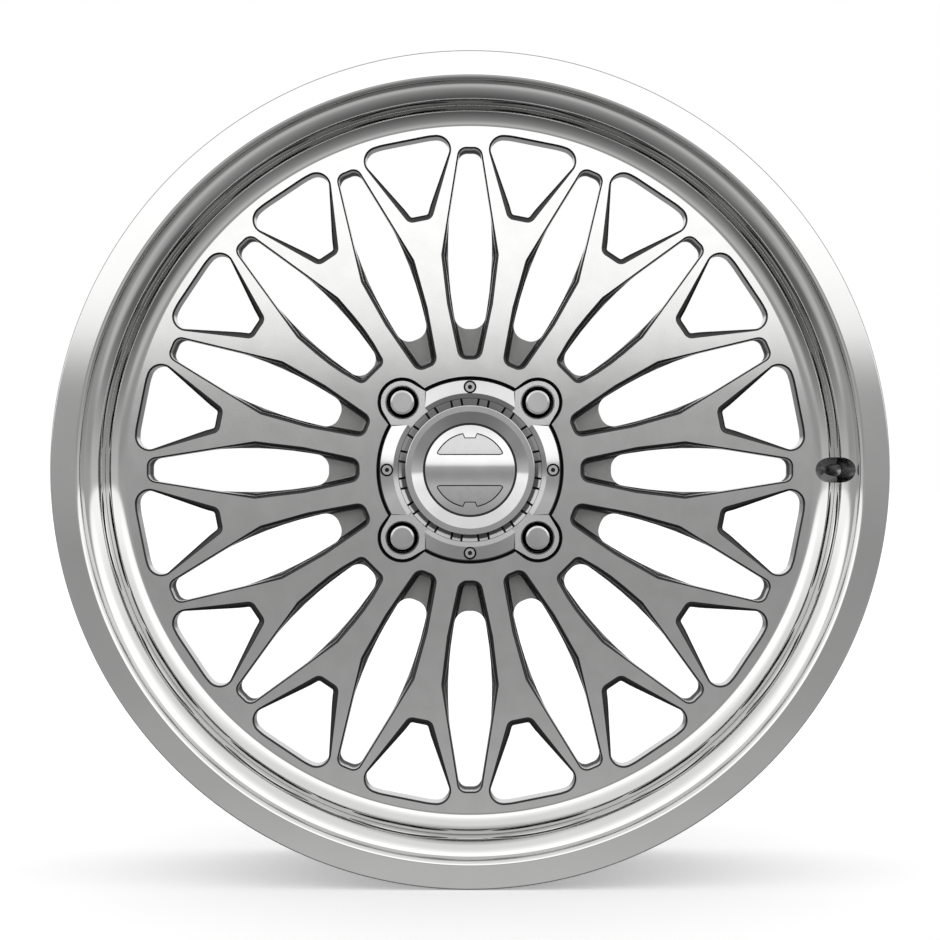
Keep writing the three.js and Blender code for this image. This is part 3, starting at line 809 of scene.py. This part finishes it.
def socket_screw(name, node, size, place):
    """Socket-head screw at a place whose origin is the head's seat and whose -Z runs along the shank.
    size holds the shank's radius and length, the head's radius and height, and the key's width."""
    shank, length, head, head_height, key_width = size
    screw = new_object(name, solid(revolved([
        (0, -length),
        (shank - 0.4, -length),
        (shank, -length + 0.4),
        (shank, 0),
        (head, 0),
        *arc(head - 0.3, head_height - 0.3, 0.3, 0, 90, 4),
        (0, head_height),
    ], 48)))
    key_radius = key_width / math.sqrt(3)
    cut(screw, solid(prism(circle(key_radius, 6), head_height / 2, head_height + 1)))
    screw.data.transform(place)
    to_screw = place.inverted()

    def zone(centre, normal):
        here = to_screw @ centre
        in_socket = here.xy.length < key_radius + 0.05 and abs(here.z) < head_height - 0.05
        # painted shade: near-black inside the hex socket
        return SOCKET_PAINTED_SHADE if in_socket else SCREW
    dress(screw, node, [SCREW, SOCKET_PAINTED_SHADE], zone)


def at(radius, angle, height):
    """Where a fastener goes whose axis lies at a place in the wheel."""
    return Matrix.Rotation(angle, 4, "Z") @ Matrix.Translation((radius, 0, height))


def make_cap_screw(number, place):
    """M4 screw that holds the plate to the wheel, from the street side."""
    seat = PLATE_TOP - 8.2
    size = (2, seat - (RECESS_Z - 10), 3.6, 4, 3)
    socket_screw(f"cap_bolt_{number}", f"cap_screw_{number}", size, at(*place, seat))


def make_crown_screw(number, place):
    """M3 screw that holds the crown to the plate, from behind."""
    seat = PLATE_BOTTOM + 3.7
    size = (1.5, CROWN_TOP - 2.5 - seat, 2.75, 3, 2.5)
    upside_down = at(*place, seat) @ Matrix.Rotation(math.pi, 4, "X")
    socket_screw(f"crown_bolt_{number}", f"crown_screw_{number}", size, upside_down)


def make_lug_nut(number, place):
    """Closed round-headed nut on its conical seat."""
    base = LUG_COUNTERBORE - GAP
    bottom, top = LUG_SEAT_TOP - 6, PLATE_TOP + 0.3
    body, thread = 8.6, 5.2
    nut = new_object(f"nut_{number}", solid(revolved([
        (thread, bottom),
        (base - 6 * LUG_SEAT_SLOPE, bottom),
        (base, LUG_SEAT_TOP),
        (base, LUG_SEAT_TOP + 3),
        (body, LUG_SEAT_TOP + 5.5),
        (body, top - 0.55),
        (body - 0.2, top - 0.27),
        (body - 1.5, top),
        (0, top),
        (0, LUG_SEAT_TOP + 22),
        (thread, LUG_SEAT_TOP + 19),
    ], 64)))
    nut.data.transform(at(*place, 0))
    dress(nut, f"lug_nut_{number}", [NUT], sharp_degrees=8)


def make_fasteners():
    for k in range(4):
        make_cap_screw(k + 1, CAP_SCREW_PLACES[k])
        make_crown_screw(k + 1, CROWN_SCREW_PLACES[k])
        make_lug_nut(k + 1, LUG_PLACES[k])


def paint_cad_node(node, material):
    """Gives a piece that keeps its CAD mesh its material."""
    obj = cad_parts[node]
    obj.data.materials.clear()
    obj.data.materials.append(material)


# ---------------------------------------------------------------- stage, light and camera

def make_floor():
    """Plain pale floor just under the lip; its faint glow keeps it white away from the wheel's shadow."""
    bm = bmesh.new()
    bmesh.ops.create_grid(bm, x_segments=1, y_segments=1, size=30)
    floor = new_object("floor", bm)
    floor.location.z = wheel_low[2] - 0.2 * MM
    material, nodes, _ = node_material("pale_floor")
    shader = nodes["Principled BSDF"]
    shader.inputs["Base Color"].default_value = (0.85, 0.85, 0.85, 1)
    shader.inputs["Roughness"].default_value = 0.9
    shader.inputs["Emission Color"].default_value = (1, 1, 1, 1)
    shader.inputs["Emission Strength"].default_value = 0.25
    floor.data.materials.append(material)
    floor.visible_glossy = False


def light_levels(nodes, links, height, levels):
    """Radiance over height, from (sine of the elevation, radiance) pairs; the result is half the radiance."""
    ramp = nodes.new("ShaderNodeValToRGB")
    links.new(height, ramp.inputs["Fac"])
    stops = ramp.color_ramp.elements
    for _ in range(len(levels) - len(stops)):
        stops.new(0.5)
    for stop, (z, level) in zip(stops, levels):
        stop.position = (z + 1) / 2
        stop.color = (level / 2, level / 2, level / 2, 1)
    return ramp.outputs["Color"]


def make_world():
    """Studio surround: dark below, grey at eye level, a broad soft light above; white behind the object."""
    world = bpy.data.worlds.new("studio")
    bpy.context.scene.world = world
    world.use_nodes = True
    nodes, links = world.node_tree.nodes, world.node_tree.links
    nodes.clear()
    place = nodes.new("ShaderNodeTexCoord")
    split = nodes.new("ShaderNodeSeparateXYZ")
    links.new(place.outputs["Generated"], split.inputs["Vector"])
    height = nodes.new("ShaderNodeMapRange")
    height.inputs["From Min"].default_value = -1
    links.new(split.outputs["Z"], height.inputs["Value"])
    front = light_levels(nodes, links, height.outputs["Result"], [
        (-1, 0.12), (-0.91, 0.17), (-0.71, 0.26), (-0.5, 0.36), (-0.34, 0.52), (-0.25, 0.62), (-0.16, 0.66),
        (-0.14, 0.58), (-0.08, 0.43), (-0.03, 0.4), (0, 0.47), (0.036, 0.49),
        (0.056, 1.35), (0.08, 1.5), (0.12, 1.6), (0.26, 1.6), (0.42, 1.3), (0.64, 1.05), (0.91, 1), (1, 0.6)])
    sides = light_levels(nodes, links, height.outputs["Result"], [
        (-1, 0.12), (-0.4, 0.17), (-0.2, 0.36), (-0.06, 0.6), (0, 0.66), (0.036, 0.7),
        (0.056, 1.35), (0.12, 1.4), (0.3, 1.1), (1, 0.6)])

    aside = nodes.new("ShaderNodeMath")
    aside.operation = "ABSOLUTE"
    links.new(split.outputs["X"], aside.inputs[0])
    flanks = nodes.new("ShaderNodeMapRange")
    flanks.interpolation_type = "SMOOTHSTEP"
    flanks.inputs["From Min"].default_value = 0.55
    flanks.inputs["From Max"].default_value = 0.8
    links.new(aside.outputs[0], flanks.inputs["Value"])
    room = nodes.new("ShaderNodeMixRGB")
    links.new(flanks.outputs["Result"], room.inputs["Fac"])
    links.new(front, room.inputs["Color1"])
    links.new(sides, room.inputs["Color2"])

    around = nodes.new("ShaderNodeBackground")
    around.inputs["Strength"].default_value = 2
    links.new(room.outputs["Color"], around.inputs["Color"])
    behind = nodes.new("ShaderNodeBackground")
    behind.inputs["Color"].default_value = (1, 1, 1, 1)
    choice = nodes.new("ShaderNodeMixShader")
    path = nodes.new("ShaderNodeLightPath")
    links.new(path.outputs["Is Camera Ray"], choice.inputs[0])
    links.new(around.outputs[0], choice.inputs[1])
    links.new(behind.outputs[0], choice.inputs[2])
    output = nodes.new("ShaderNodeOutputWorld")
    links.new(choice.outputs[0], output.inputs["Surface"])


CAMERA_DISTANCE = 1.75  # metres from the lip
WHEEL_SHARE = 0.8936  # of the picture's width that the wheel fills


def make_camera():
    """Camera on the axle, looking straight at the street side."""
    camera = bpy.data.cameras.new("camera")
    camera.lens = camera.sensor_width * WHEEL_SHARE * CAMERA_DISTANCE / (2 * RIM_RADIUS * MM)
    camera.clip_start = 0.01
    obj = bpy.data.objects.new("camera", camera)
    obj.location = (0, -RIM_FRONT * MM - CAMERA_DISTANCE, 0)
    obj.rotation_euler = (math.pi / 2, 0, 0)
    bpy.context.scene.collection.objects.link(obj)
    bpy.context.scene.camera = obj


make_wheel()
make_base_plate()
make_castle_ring()
make_crown()
make_badge()
make_badge_ring()
make_fasteners()
paint_cad_node("cap_gasket", RUBBER)
paint_cad_node("badge_retaining_ring", SCREW)
make_floor()
make_world()
make_camera()
bpy.context.scene.view_settings.view_transform = "Standard"
